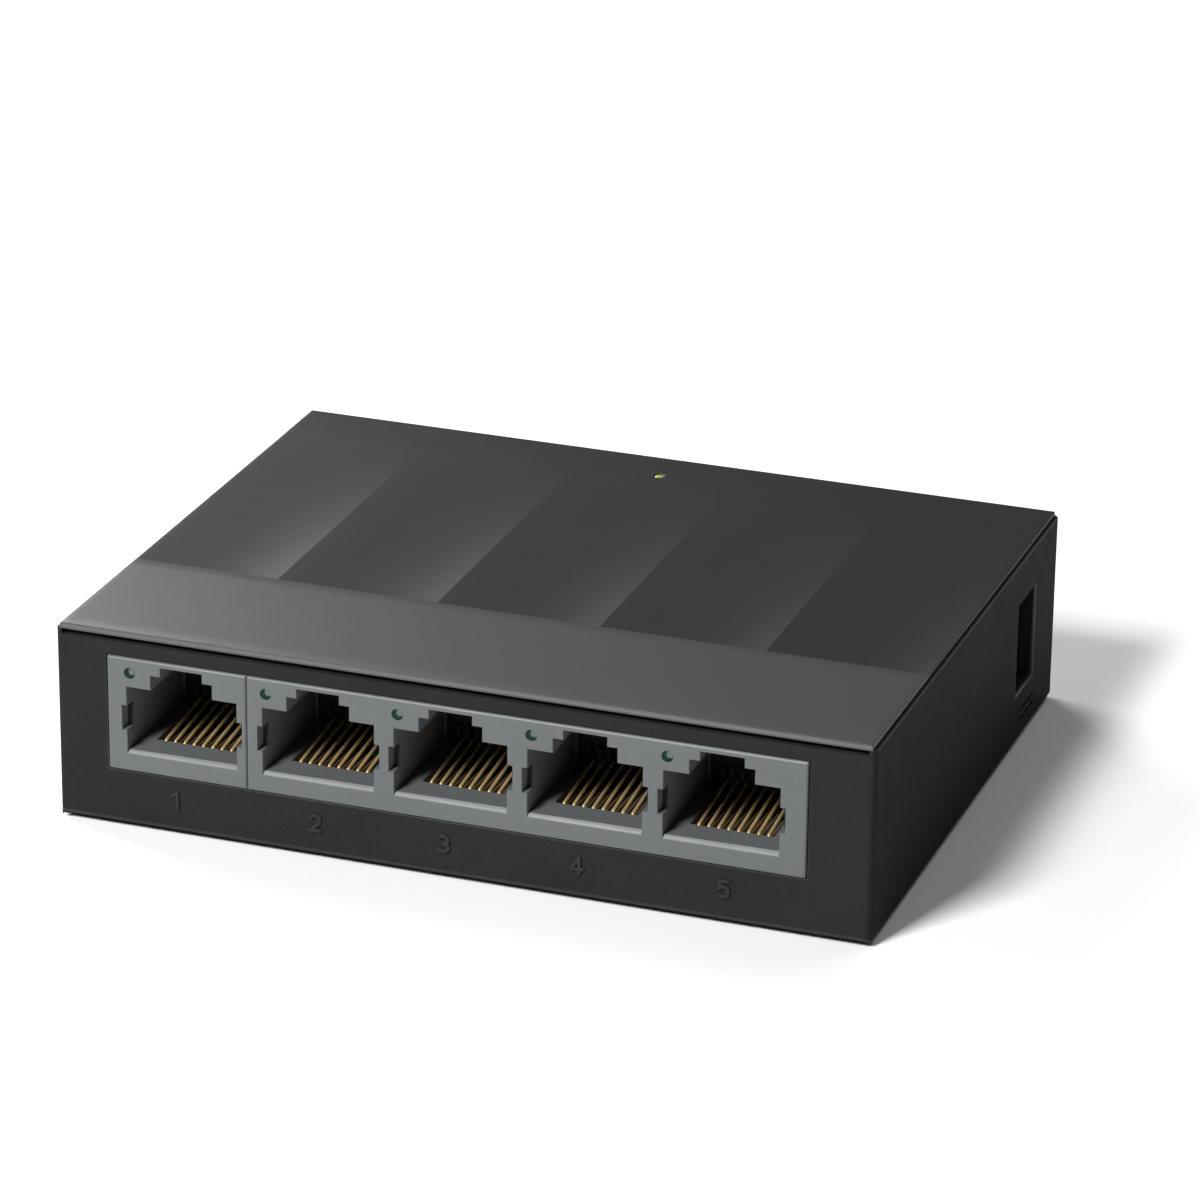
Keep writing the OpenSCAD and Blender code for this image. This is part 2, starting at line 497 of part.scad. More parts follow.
// ---- chips ----
module gull_lead(w, reach, h, t) {
  // runs out along +X from the package's side and steps down to the board
  translate([0, w/2, 0]) rotate([90, 0, 0]) linear_extrude(w)
    polygon([[0.01, h], [reach*0.35, h], [reach*0.5, t], [reach, t], [reach, 0], [reach*0.42, 0], [reach*0.27, h - t], [0.01, h - t]]);
}
chip_pos = [2, 9.5];
chip_w = 10;
module switch_chip() { color("#1c1d1f")
  translate([chip_pos[0], chip_pos[1], pcb_z + 0.1]) difference() {
    intersection() {
      box([-chip_w/2, -chip_w/2, 0], [chip_w/2, chip_w/2, 1.4]);
      for (a = [0]) translate([0, 0, 0]) linear_extrude(2) polygon([[-5, -4.6], [-4.6, -5], [4.6, -5], [5, -4.6], [5, 4.6], [4.6, 5], [-4.6, 5], [-5, 4.6]]);
    }
    translate([-3.8, 3.8, 1.3]) cylinder(d = 1, h = 1);
  }
}
module switch_chip_leads() { color("#c4c6c8")
  for (a = [0, 90, 180, 270], k = [0:15]) translate([chip_pos[0], chip_pos[1], pcb_z])
    rotate([0, 0, a]) translate([chip_w/2, (k - 7.5)*0.5, 0]) gull_lead(0.22, 1, 0.8, 0.13);
}
xf_y = -8.4;
xf_x = [-29.1, -15, -0.9, 13.2, 27.3];
module transformer_modules() { color("#1d1e20")
  for (x = xf_x) translate([x, xf_y, pcb_z + 0.3]) difference() {
    translate([-3.55, 0, 0]) rotate([90, 0, 90]) linear_extrude(7.1) polygon([[-4.75, 0], [4.75, 0], [4.75, 4.6], [4.45, 5.4], [-4.45, 5.4], [-4.75, 4.6]]);
    translate([-2.5, 3.6, 5.2]) cylinder(d = 1, h = 1);
  }
}
module transformer_leads() { color("#c4c6c8")
  for (x = xf_x, s = [0, 180], k = [0:7]) translate([x, xf_y, pcb_z]) rotate([0, 0, s]) translate([3.55, (k - 3.5)*1.1, 0]) gull_lead(0.4, 1.2, 1.6, 0.22);
}
module crystal() { color("#bfc2c5")
  translate([-12.8, 10, pcb_z]) union() {
    linear_extrude(0.5) union() { square([6.6, 4.7], center = true); for (s = [-1, 1]) translate([s*3.3, 0]) circle(d = 4.7); }
    translate([0, 0, 0.4]) linear_extrude(3.1) union() { square([6.4, 3.8], center = true); for (s = [-1, 1]) translate([s*3.2, 0]) circle(d = 3.8); }
  }
}
module power_inductor() { color("#3c3d40")
  translate([20.5, 24, pcb_z]) difference() {
    intersection() {
      box([-3.5, -3.5, 0], [3.5, 3.5, 3.8]);
      rotate([0, 0, 45]) box([-4.3, -4.3, -1], [4.3, 4.3, 5]);
    }
    difference() { translate([0, 0, 3.5]) cylinder(d = 6, h = 1); translate([0, 0, 3]) cylinder(d = 5, h = 2); }
  }
}
can_pos = [[-21, 24], [-31.5, 21.5]];
module electrolytic_capacitors() { color("#c9cbcd")
  for (c = can_pos) translate([c[0], c[1], pcb_z]) union() {
    rotate_extrude() polygon([[0, 0.4], [2.9, 0.4], [2.9, 10.3], [2.6, 10.6], [0, 10.6]]);
    for (s = [-1, 1]) translate([s*1.75, 0, -pcb_t - 1.4]) cylinder(d = 0.6, h = pcb_t + 2, $fn = 24);
  }
}
module electrolytic_sleeves() { color("#22345c")
  for (c = can_pos) translate([c[0], c[1], pcb_z]) rotate_extrude() polygon([[2.91, 0.3], [3.1, 0.3], [3.1, 10.5], [2.91, 10.5]]);
}
module small_package(l, w, h) {
  intersection() {
    box([-l/2, -w/2, 0.1], [l/2, w/2, 0.1 + h]);
    translate([-l, 0, 0]) rotate([90, 0, 90]) linear_extrude(2*l) polygon([[-w/2 + 0.12, 0.1], [w/2 - 0.12, 0.1], [w/2, 0.1 + h*0.45], [w/2 - 0.15, 0.1 + h], [-w/2 + 0.15, 0.1 + h], [-w/2, 0.1 + h*0.45]]);
  }
}
reg_pos = [12.5, 25];
module regulator_chip() { color("#1c1d1f") translate([reg_pos[0], reg_pos[1], pcb_z]) small_package(4.9, 3.9, 1.45); }
module regulator_leads() { color("#c4c6c8")
  for (s = [90, 270], k = [0:3]) translate([reg_pos[0], reg_pos[1], pcb_z]) rotate([0, 0, s]) translate([1.97, (k - 1.5)*1.27, 0]) gull_lead(0.4, 1.05, 0.85, 0.2);
}
mem_pos = [14.5, 9.5];
module memory_chip() { color("#1c1d1f") translate([mem_pos[0], mem_pos[1], pcb_z]) rotate([0, 0, 90]) small_package(4.9, 3.9, 1.45); }
module memory_leads() { color("#c4c6c8")
  for (s = [0, 180], k = [0:3]) translate([mem_pos[0], mem_pos[1], pcb_z]) rotate([0, 0, s]) translate([1.97, (k - 1.5)*1.27, 0]) gull_lead(0.4, 1.05, 0.85, 0.2);
}
surge_pos = [-32.5, 9];
module surge_capacitor() { color("#2d5fa8")
  translate([surge_pos[0], surge_pos[1], pcb_z]) union() {
    translate([0, -1.6, 4.8]) rotate([-90, 0, 0]) rotate_extrude() polygon([[0, 0], [3.4, 0], [4.2, 0.8], [4.2, 2.4], [3.4, 3.2], [0, 3.2]]);
    for (s = [-1, 1]) translate([s*2.5, 0, -pcb_t - 1.4]) cylinder(d = 0.6, h = 4.2 + pcb_t, $fn = 24);
  }
}
module rectifier_diode() { color("#1c1d1f") translate([24.5, 15.2, pcb_z]) small_package(2.6, 4.3, 2.1); }
module input_fuse() { color("#dfe0e2") translate([20.5, 17.2, pcb_z]) box([-1.6, -0.8, 0], [1.6, 0.8, 0.8]); }
module ceramic_capacitors() { color("#a8875a")
  for (p = [[-5.7, 5], [-5.7, 7.5], [-5.7, 14], [8.8, 5], [9.2, 14.2], [-2.5, 17.2], [0.5, 17.2], [3.5, 17.2], [6.5, 17.2], [-2.5, 1.9], [1, 1.9], [4.5, 1.9], [16.2, 21.8], [16.2, 26.8], [25.6, 27.5], [-15, 18.5], [-15, 14.5]])
    translate([p[0], p[1], pcb_z]) box([-0.8, -0.4, 0], [0.8, 0.4, 0.8]);
}
module resistors() { color("#26272a")
  for (p = [[-20.5, 6], [-20.5, 8], [-20.5, 10], [-20.5, 12], [19.4, 6.5], [19.4, 8.5], [19.4, 10.5], [19.4, 12.5], [8, 21.5], [8, 23.5], [8, 27.5], [3.6, 25], [3.6, 27.6], [-6, 24], [-6, 26]])
    translate([p[0], p[1], pcb_z]) box([-0.8, -0.4, 0], [0.8, 0.4, 0.45]);
}
module resistor_networks() { color("#202124")
  for (x = [-29.1, -15, -0.9, 13.2, 27.3]) translate([x, -1.6, pcb_z]) box([-1.6, -0.8, 0], [1.6, 0.8, 0.5]);
}

bottom_case();
top_cover();
rubber_feet();
rating_plate_blank();
pcb();
pcb_screws();
jack_single_housing();
jack_quad_housing();
jack_contact_carriers();
port_1_contacts();
port_2_contacts();
port_3_contacts();
port_4_contacts();
port_5_contacts();
port_1_springs();
port_2_springs();
port_3_springs();
port_4_springs();
port_5_springs();
port_light_pipes();
port_leds();
power_light_pipe();
power_led();
dc_jack_body();
dc_jack_pin();
dc_jack_spring();
dc_jack_terminals();
switch_chip();
switch_chip_leads();
transformer_modules();
transformer_leads();
crystal();
power_inductor();
electrolytic_capacitors();
electrolytic_sleeves();
regulator_chip();
regulator_leads();
memory_chip();
memory_leads();
surge_capacitor();
rectifier_diode();
input_fuse();
ceramic_capacitors();
resistors();
resistor_networks();
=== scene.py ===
import json
import math

import bmesh
import bpy
from mathutils import Matrix, Vector

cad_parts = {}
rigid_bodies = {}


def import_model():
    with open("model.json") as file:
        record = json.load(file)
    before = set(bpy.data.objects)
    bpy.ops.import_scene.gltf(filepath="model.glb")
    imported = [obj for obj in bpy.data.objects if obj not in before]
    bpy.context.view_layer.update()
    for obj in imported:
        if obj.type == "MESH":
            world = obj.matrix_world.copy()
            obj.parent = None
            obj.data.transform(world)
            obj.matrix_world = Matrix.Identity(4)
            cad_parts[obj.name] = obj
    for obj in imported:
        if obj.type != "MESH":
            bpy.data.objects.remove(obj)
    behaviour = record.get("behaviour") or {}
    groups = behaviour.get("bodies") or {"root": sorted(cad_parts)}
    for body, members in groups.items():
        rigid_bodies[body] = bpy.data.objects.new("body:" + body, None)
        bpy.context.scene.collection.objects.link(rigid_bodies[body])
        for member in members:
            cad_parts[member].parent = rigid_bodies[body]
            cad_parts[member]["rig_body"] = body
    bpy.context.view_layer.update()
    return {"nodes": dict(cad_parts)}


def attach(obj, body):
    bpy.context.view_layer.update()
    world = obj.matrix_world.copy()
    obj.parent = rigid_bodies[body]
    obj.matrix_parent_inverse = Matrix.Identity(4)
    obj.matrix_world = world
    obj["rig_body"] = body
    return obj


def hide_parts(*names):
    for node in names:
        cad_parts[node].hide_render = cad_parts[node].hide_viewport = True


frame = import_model()
MM = 0.001

# ---------------------------------------------------------------- helpers


def new_object(name, bm=None, mesh=None):
    me = mesh or bpy.data.meshes.new(name)
    if bm is not None:
        bm.to_mesh(me)
        bm.free()
    ob = bpy.data.objects.new(name, me)
    bpy.context.scene.collection.objects.link(ob)
    return ob


def applied(ob):
    """The object with its modifiers built into a plain mesh."""
    bpy.context.view_layer.update()
    dg = bpy.context.evaluated_depsgraph_get()
    me = bpy.data.meshes.new_from_object(ob.evaluated_get(dg), depsgraph=dg)
    old = ob.data
    ob.modifiers.clear()
    ob.data = me
    bpy.data.meshes.remove(old)
    return ob


def shade(ob, angle=30):
    me = ob.data
    me.polygons.foreach_set("use_smooth", [True] * len(me.polygons))
    me.set_sharp_from_angle(angle=math.radians(angle))
    return ob


def cad_bmesh(node, merge=0.001):
    """A node's faces as a clean mesh: welded, and with its flat faces whole."""
    src = frame["nodes"][node].data
    bm = bmesh.new()
    vs = [bm.verts.new(v.co) for v in src.vertices]
    for p in src.polygons:
        try:
            bm.faces.new([vs[i] for i in p.vertices])
        except ValueError:
            pass
    bmesh.ops.remove_doubles(bm, verts=bm.verts, dist=merge * MM)
    bmesh.ops.dissolve_degenerate(bm, edges=bm.edges, dist=merge * MM)
    bmesh.ops.dissolve_limit(bm, angle_limit=math.radians(0.4), verts=bm.verts, edges=bm.edges)
    bmesh.ops.connect_verts_concave(bm, faces=bm.faces)
    return bm


def moulded_normals(ob):
    """Flat faces shade flat right up to their edges; only the rounded strips between them turn."""
    me = ob.data
    cos = [v.co for v in me.vertices]
    planar, flat_at, thin = {}, {}, []
    for p in me.polygons:
        for axis in range(3):
            vals = [cos[i][axis] for i in p.vertices]
            if max(vals) - min(vals) < 2e-6:
                if abs(p.normal[axis]) < 0.9:
                    thin.append((p, axis))
                    continue
                n = Vector((0, 0, 0))
                n[axis] = 1.0 if p.normal[axis] > 0 else -1.0
                planar[p.index] = n
                for i in p.vertices:
                    flat_at.setdefault(i, []).append(n)
                break
    for p, axis in thin:
        near = [n for i in p.vertices for n in flat_at.get(i, []) if abs(n[axis]) > 0.5]
        if near and p.index not in planar:
            planar[p.index] = near[0]
    turning = [Vector((0, 0, 0)) for _ in cos]
    for p in me.polygons:
        if p.index not in planar:
            for i in p.vertices:
                turning[i] += p.normal * max(p.area, 1e-12) ** 0.5
    out = []
    for p in me.polygons:
        for i in p.vertices:
            if p.index in planar:
                out.append(planar[p.index])
                continue
            best = max(flat_at.get(i, []), key=lambda n: n.dot(p.normal), default=None)
            if best is not None and best.dot(p.normal) > 0.55:
                out.append(best)
            elif best is None and turning[i].length > 0 and turning[i].normalized().dot(p.normal) > 0.6:
                out.append(turning[i].normalized())
            else:
                out.append(p.normal.copy())
    me.polygons.foreach_set("use_smooth", [True] * len(me.polygons))
    me.normals_split_custom_set(out)
    return ob


def same_plane(e):
    vs = {v for f in e.link_faces for v in f.verts}
    return any(max(v.co[k] for v in vs) - min(v.co[k] for v in vs) < 2e-6 for k in range(3))


def soften(node, name, width, segments=2, angle=28, weight=None, tweak=None):
    """Own mesh for a node, with its moulded edges rounded; slot 1 is the rounded strips."""
    bm = cad_bmesh(node)
    if tweak:
        for v in bm.verts:
            v.co = Vector(tweak(*(v.co / MM))) * MM
    layer = bm.edges.layers.float.get("bevel_weight_edge") or bm.edges.layers.float.new("bevel_weight_edge")
    for e in bm.edges:
        if len(e.link_faces) != 2 or same_plane(e):
            continue
        a = e.calc_face_angle(0)
        if a > math.radians(angle):
            mid = (e.verts[0].co + e.verts[1].co) / 2 / MM
            e[layer] = 1.0 if weight is None else weight(mid, e)
    ob = new_object(name, bm)
    for k in range(2):
        ob.data.materials.append(None)
    mod = ob.modifiers.new("edges", "BEVEL")
    mod.limit_method = "WEIGHT"
    mod.width = width * MM
    mod.segments = segments
    mod.use_clamp_overlap = False
    mod.material = 1
    applied(ob)
    moulded_normals(ob)
    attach(ob, frame["nodes"][node]["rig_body"])
    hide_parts(node)
    return ob


def sweep(bm, points, r, n=14, ends=(0.0, 0.0), mat=0):
    """Round wire along a path in millimetres, lying in a plane of constant X; ends can be rounded off."""
    pts = [Vector(q) for q in points]
    rings = []
    for k, q in enumerate(pts):
        d = (pts[min(k + 1, len(pts) - 1)] - pts[max(k - 1, 0)]).normalized()
        side = Vector((1, 0, 0))
        up = side.cross(d).normalized()
        rings.append((q, side, up, r))
    for which, length in ((0, ends[0]), (-1, ends[1])):
        if length:
            q, side, up, _ = rings[which]
            d = (pts[0] - pts[1]).normalized() if which == 0 else (pts[-1] - pts[-2]).normalized()
            extra = [(q + d * length * math.sin(t), side, up, r * math.cos(t)) for t in (0.45, 0.85, 1.2, 1.42)]
            rings = list(reversed(extra)) + rings if which == 0 else rings + extra
    loops = []
    for q, side, up, rr in rings:
        loops.append([bm.verts.new((q + side * rr * math.cos(2 * math.pi * j / n) + up * rr * math.sin(2 * math.pi * j / n)) * MM) for j in range(n)])
    faces = [bm.faces.new(loops[0]), bm.faces.new(list(reversed(loops[-1])))]
    for a, b in zip(loops, loops[1:]):
        faces += [bm.faces.new([a[j], b[j], b[(j + 1) % n], a[(j + 1) % n]]) for j in range(n)]
    for f in faces:
        f.material_index = mat
    return faces


def lathe(bm, axis, centre, profile, n=48, mat=0):
    """A turned solid: (radius, place along the axis) pairs in millimetres; radius 0 closes an end."""
    place = {"x": lambda p, q, t: (t, centre[0] + p, centre[1] + q), "y": lambda p, q, t: (centre[0] + p, t, centre[1] + q), "z": lambda p, q, t: (centre[0] + p, centre[1] + q, t)}[axis]
    loops = []
    for r, t in profile:
        if r == 0:
            loops.append([bm.verts.new(Vector(place(0, 0, t)) * MM)])
        else:
            loops.append([bm.verts.new(Vector(place(r * math.cos(2 * math.pi * k / n), r * math.sin(2 * math.pi * k / n), t)) * MM) for k in range(n)])
    faces = []
    for a, b in zip(loops, loops[1:]):
        for k in range(n):
            j = (k + 1) % n
            if len(a) == 1:
                faces.append(bm.faces.new([a[0], b[k], b[j]]))
            elif len(b) == 1:
                faces.append(bm.faces.new([a[k], b[0], a[j]]))
            else:
                faces.append(bm.faces.new([a[k], b[k], b[j], a[j]]))
    for f in faces:
        f.material_index = mat
    return faces


# ---------------------------------------------------------------- materials


class Nodes:
    """Small helper to lay out a node tree."""

    def __init__(self, name):
        self.mat = bpy.data.materials.new(name)
        self.mat.use_nodes = True
        self.t = self.mat.node_tree
        self.t.nodes.clear()
        self.out = self.t.nodes.new("ShaderNodeOutputMaterial")
        self.bsdf = self.t.nodes.new("ShaderNodeBsdfPrincipled")
        self.t.links.new(self.bsdf.outputs[0], self.out.inputs[0])
        self.co = self.t.nodes.new("ShaderNodeTexCoord").outputs["Object"]

    def node(self, kind, **values):
        n = self.t.nodes.new(kind)
        for k, v in values.items():
            setattr(n, k, v)
        return n

    def link(self, a, b):
        self.t.links.new(a, b)

    def scaled(self, sx, sy=None, sz=None, rot=(0, 0, 0)):
        m = self.node("ShaderNodeMapping")
        self.link(self.co, m.inputs["Vector"])
        m.inputs["Scale"].default_value = (sx, sy if sy is not None else sx, sz if sz is not None else sx)
        m.inputs["Rotation"].default_value = rot
        return m.outputs[0]

    def noise(self, size_mm, detail=3.0, rough=0.55, vector=None, distortion=0.0):
        n = self.node("ShaderNodeTexNoise")
        self.link(vector or self.co, n.inputs["Vector"])
        n.inputs["Scale"].default_value = 1.0 / (size_mm * MM) if vector is None else size_mm
        n.inputs["Detail"].default_value = detail
        n.inputs["Roughness"].default_value = rough
        n.inputs["Distortion"].default_value = distortion
        return n.outputs["Fac"]

    def voronoi(self, size_mm, feature="F1", vector=None):
        n = self.node("ShaderNodeTexVoronoi", feature=feature)
        self.link(vector or self.co, n.inputs["Vector"])
        n.inputs["Scale"].default_value = 1.0 / (size_mm * MM)
        return n.outputs["Distance"]

    def ramp(self, fac, stops):
        n = self.node("ShaderNodeValToRGB")
        self.link(fac, n.inputs["Fac"])
        r = n.color_ramp
        while len(r.elements) < len(stops):
            r.elements.new(0.5)
        for e, (p, c) in zip(r.elements, stops):
            e.position = p
            e.color = (c, c, c, 1) if isinstance(c, (int, float)) else (*c, 1)
        return n.outputs["Color"]

    def maths(self, op, a, b=None, clamp=False):
        n = self.node("ShaderNodeMath", operation=op, use_clamp=clamp)
        for i, v in enumerate((a, b)):
            if v is None:
                continue
            if isinstance(v, (int, float)):
                n.inputs[i].default_value = v
            else:
                self.link(v, n.inputs[i])
        return n.outputs[0]

    def mix(self, fac, a, b, blend="MIX"):
        n = self.node("ShaderNodeMix", data_type="RGBA", blend_type=blend)
        ins = {i.identifier: i for i in n.inputs}
        for key, v in (("Factor_Float", fac), ("A_Color", a), ("B_Color", b)):
            if isinstance(v, (int, float)):
                ins[key].default_value = v
            elif isinstance(v, tuple):
                ins[key].default_value = (*v, 1)
            else:
                self.link(v, ins[key])
        return [o for o in n.outputs if o.identifier == "Result_Color"][0]

    def bump(self, height, strength, distance_mm, normal=None):
        n = self.node("ShaderNodeBump")
        self.link(height, n.inputs["Height"])
        n.inputs["Strength"].default_value = strength
        n.inputs["Distance"].default_value = distance_mm * MM
        if normal is not None:
            self.link(normal, n.inputs["Normal"])
        return n.outputs[0]

    def set(self, key, value):
        s = self.bsdf.inputs[key]
        if isinstance(value, (int, float)):
            s.default_value = value
        elif isinstance(value, tuple):
            s.default_value = (*value, 1) if len(value) == 3 and s.type == "RGBA" else value
        else:
            self.link(value, s)


def plastic(name, colour, rough, grain_mm=0.18, grain=0.35, depth_mm=0.012, spec=0.4, vary=0.12, rough_vary=0.08, ior=1.5, dust=0.0):
    """Moulded plastic with a spark-eroded grain: fine pits, slow drifts of colour and gloss."""
    m = Nodes(name)
    slow = m.noise(9.0, 3, 0.6)
    fine = m.noise(grain_mm, 4, 0.6)
    pits = m.voronoi(grain_mm * 1.3)
    lo = tuple(c * (1 - vary) for c in colour)
    hi = tuple(min(1, c * (1 + vary)) for c in colour)
    col = m.mix(m.ramp(slow, [(0.3, 0.0), (0.7, 1.0)]), lo, hi)
    speck = m.ramp(fine, [(0.35, 0.0), (0.65, 1.0)])
    col = m.mix(m.maths("MULTIPLY", speck, 0.35), col, tuple(min(1, c * 1.22 + 0.002) for c in colour))
    if dust:
        settle = m.ramp(m.noise(2.6, 5, 0.7), [(0.52, 0.0), (0.8, 1.0)])
        col = m.mix(m.maths("MULTIPLY", settle, dust), col, (0.32, 0.31, 0.3))
    m.set("Base Color", col)
    r = m.maths("ADD", m.maths("MULTIPLY", m.maths("SUBTRACT", m.noise(4.0, 3, 0.55), 0.5), rough_vary * 2), rough)
    r = m.maths("ADD", r, m.maths("MULTIPLY", m.maths("SUBTRACT", fine, 0.5), rough_vary), clamp=True)
    m.set("Roughness", r)
    m.set("IOR", ior)
    m.set("Specular IOR Level", spec)
    h = m.maths("ADD", m.maths("MULTIPLY", pits, 0.55), m.maths("MULTIPLY", fine, 0.6))
    m.set("Normal", m.bump(h, grain, depth_mm))
    return m.mat


def metal(name, colour, rough, grain_mm=0.3, grain=0.12, stretch=(1, 1, 1), tarnish=(0.5, 0.4, 0.25), tarnish_amount=0.25, body=0.0):
    """Bright rolled or plated metal: drawing lines, and a patchy film on it."""
    m = Nodes(name)
    s = 1.0 / (grain_mm * MM)
    lines = m.noise(1.0, 4, 0.6, vector=m.scaled(s * stretch[0], s * stretch[1], s * stretch[2]))
    film = m.ramp(m.noise(1.2, 4, 0.6), [(0.4, 0.0), (0.75, 1.0)])
    col = m.mix(m.maths("MULTIPLY", film, tarnish_amount), colour, tarnish)
    col = m.mix(m.maths("MULTIPLY", lines, 0.25), col, tuple(c * 0.72 for c in colour))
    m.set("Base Color", col)
    m.set("Metallic", 1.0 - body)
    m.set("Roughness", m.maths("ADD", m.maths("MULTIPLY", lines, 0.16), rough - 0.06, clamp=True))
    m.set("Normal", m.bump(lines, grain, 0.004))
    return m.mat


def glossy(name, colour, rough=0.25, vary=0.1, coat=0.0, speck_mm=0.4, bump=0.1, spec=0.5):
    """Smooth moulded, glazed or varnished surface with a slight unevenness."""
    m = Nodes(name)
    slow = m.noise(2.4, 3, 0.6)
    fine = m.noise(speck_mm, 4, 0.6)
    lo = tuple(c * (1 - vary) for c in colour)
    hi = tuple(min(1, c * (1 + vary)) for c in colour)
    col = m.mix(m.ramp(slow, [(0.3, 0.0), (0.7, 1.0)]), lo, hi)
    col = m.mix(m.maths("MULTIPLY", fine, 0.25), col, tuple(c * 0.8 for c in colour))
    m.set("Base Color", col)
    m.set("Roughness", m.maths("ADD", m.maths("MULTIPLY", fine, 0.12), rough - 0.05, clamp=True))
    m.set("Coat Weight", coat)
    m.set("Coat Roughness", 0.12)
    m.set("Specular IOR Level", spec)
    m.set("Normal", m.bump(m.maths("ADD", slow, m.maths("MULTIPLY", fine, 0.4)), bump, 0.02))
    return m.mat


# ---------------------------------------------------------------- top cover
# Sizes in millimetres, in the frame of the CAD model.

LID_X, LID_Y0, LID_Y1 = 42.35, -33.08, 32.9
SEAT_X, SEAT_Y = 41.8, 32.35
Z_TOP, Z_LID, Z_LIP = 21.3, 19.55, 20.8
BAND_Y, FOLD_Y = -14.4, 25.4
CREASES = [-LID_X, -26.6, -9.2, 8.2, 25.6, LID_X]


def fold_depth(u, v):
    """Depth of a folded panel below the top: it sinks gently from its left crease and rises steeply to its right one."""
    return 0.03 + 0.5 * 4 * u * (1 - u) * (1 + 0.6 * (2 * u - 1)) * max(0.0, 1 - v)


def smooth(t):
    t = min(1.0, max(0.0, t))
    return t * t * (3 - 2 * t)


def arc_pairs(r, n):
    """(inset, drop) pairs of a rounded edge of radius r, from the flat outwards and down."""
    return [(r - r * math.sin(a), r - r * math.cos(a)) for a in (math.pi / 2 * k / n for k in range(1, n + 1))]


def block(bm, lo, hi, taper=0.0, mat=0):
    """A box from lo to hi in millimetres; taper draws its lower end in, as a moulded rib has."""
    vs = []
    for z, t in ((lo[2], taper), (hi[2], 0.0)):
        for x, y in ((lo[0] + t, lo[1] + t), (hi[0] - t, lo[1] + t), (hi[0] - t, hi[1] - t), (lo[0] + t, hi[1] - t)):
            vs.append(bm.verts.new((x * MM, y * MM, z * MM)))
    fs = [(3, 2, 1, 0), (4, 5, 6, 7), (0, 1, 5, 4), (1, 2, 6, 5), (2, 3, 7, 6), (3, 0, 4, 7)]
    made = [bm.faces.new([vs[k] for k in f]) for f in fs]
    for f in made:
        f.material_index = mat
    return vs


def prism(bm, outline, axis, a, b, mat=0):
    """A closed outline, pairs in millimetres, extruded along an axis from a to b."""
    place = {"x": lambda p, q, t: (t, p, q), "y": lambda p, q, t: (p, t, q), "z": lambda p, q, t: (p, q, t)}[axis]
    ends = [[bm.verts.new(Vector(place(p, q, t)) * MM) for p, q in outline] for t in (a, b)]
    n = len(outline)
    made = [bm.faces.new(ends[0]), bm.faces.new(list(reversed(ends[1])))]
    made += [bm.faces.new([ends[0][k], ends[1][k], ends[1][(k + 1) % n], ends[0][(k + 1) % n]]) for k in range(n)]
    for f in made:
        f.material_index = mat
    return made


def tube(bm, centre, axis, r, a, b, n=32, r2=None, mat=0):
    """A closed cylinder or cone frustum along an axis, in millimetres."""
    r2 = r if r2 is None else r2
    place = {"x": lambda p, q, t: (t, p, q), "y": lambda p, q, t: (p, t, q), "z": lambda p, q, t: (p, q, t)}[axis]
    ends = []
    for t, rr in ((a, r), (b, r2)):
        ends.append([bm.verts.new(Vector(place(centre[0] + rr * math.cos(2 * math.pi * k / n), centre[1] + rr * math.sin(2 * math.pi * k / n), t)) * MM) for k in range(n)])
    made = [bm.faces.new(ends[0]), bm.faces.new(list(reversed(ends[1])))]
    made += [bm.faces.new([ends[0][k], ends[1][k], ends[1][(k + 1) % n], ends[0][(k + 1) % n]]) for k in range(n)]
    for f in made:
        f.material_index = mat
    return made


def outward(bm):
    bmesh.ops.recalc_face_normals(bm, faces=bm.faces)
    return bm


def carve(ob, cutter_bm, operation="DIFFERENCE"):
    """Boolean of ob with the closed solids of a mesh."""
    cutter = new_object("cutter", outward(cutter_bm))
    for m in ob.data.materials:
        cutter.data.materials.append(m)
    mod = ob.modifiers.new("cut", "BOOLEAN")
    mod.operation = operation
    mod.solver = "MANIFOLD"
    mod.object = cutter
    applied(ob)
    me = cutter.data
    bpy.data.objects.remove(cutter)
    bpy.data.meshes.remove(me)
    return ob


